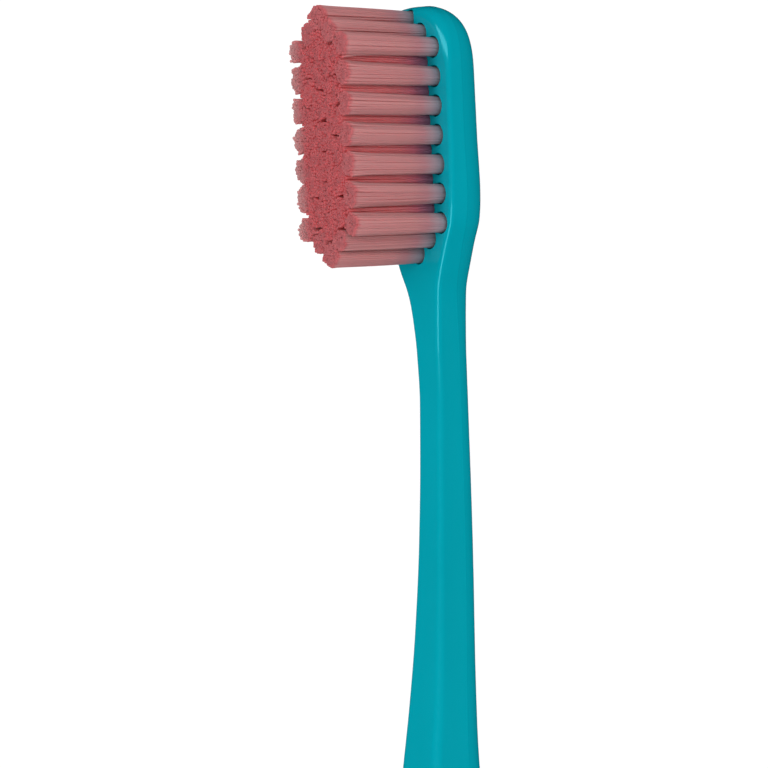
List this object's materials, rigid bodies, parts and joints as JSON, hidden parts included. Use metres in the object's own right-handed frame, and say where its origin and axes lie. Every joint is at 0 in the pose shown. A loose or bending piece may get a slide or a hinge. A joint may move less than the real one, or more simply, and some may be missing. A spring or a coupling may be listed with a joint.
{
  "type": "manual toothbrush",
  "caption": "Manual toothbrush with a slim one-piece plastic handle, a compact flat-trimmed head of staggered bristle tufts and hidden metal anchors.",
  "frame": {"origin": "under the middle of the brush's length and width, in the plane of the grip's flat back, which the brush lies on", "axes": "+X along the handle towards the tip of the head, +Y to the left-hand side, +Z the way the bristles point"},
  "size_m": [0.176, 0.0112, 0.0177],
  "materials": {
    "handle_plastic": "glossy injection-moulded teal plastic, coloured in the mass",
    "bristle": "dusky pink translucent filaments with rounded ends",
    "anchor_metal": "plain punched strip, not polished"
  },
  "bodies": {
    "root": {"handle": "handle_plastic", "tuft_right_outer_1": "bristle", "tuft_right_outer_2": "bristle", "tuft_right_outer_3": "bristle", "tuft_right_outer_4": "bristle", "tuft_right_outer_5": "bristle", "tuft_right_outer_6": "bristle", "tuft_right_outer_7": "bristle", "tuft_right_inner_1": "bristle", "tuft_right_inner_2": "bristle", "tuft_right_inner_3": "bristle", "tuft_right_inner_4": "bristle", "tuft_right_inner_5": "bristle", "tuft_right_inner_6": "bristle", "tuft_right_inner_7": "bristle", "tuft_right_inner_8": "bristle", "tuft_centre_1": "bristle", "tuft_centre_2": "bristle", "tuft_centre_3": "bristle", "tuft_centre_4": "bristle", "tuft_centre_5": "bristle", "tuft_centre_6": "bristle", "tuft_centre_7": "bristle", "tuft_centre_8": "bristle", "tuft_centre_9": "bristle", "tuft_left_inner_1": "bristle", "tuft_left_inner_2": "bristle", "tuft_left_inner_3": "bristle", "tuft_left_inner_4": "bristle", "tuft_left_inner_5": "bristle", "tuft_left_inner_6": "bristle", "tuft_left_inner_7": "bristle", "tuft_left_inner_8": "bristle", "tuft_left_outer_1": "bristle", "tuft_left_outer_2": "bristle", "tuft_left_outer_3": "bristle", "tuft_left_outer_4": "bristle", "tuft_left_outer_5": "bristle", "tuft_left_outer_6": "bristle", "tuft_left_outer_7": "bristle", "anchors_right_outer": "anchor_metal", "anchors_right_inner": "anchor_metal", "anchors_centre": "anchor_metal", "anchors_left_inner": "anchor_metal", "anchors_left_outer": "anchor_metal"}
  },
  "joints": []
}
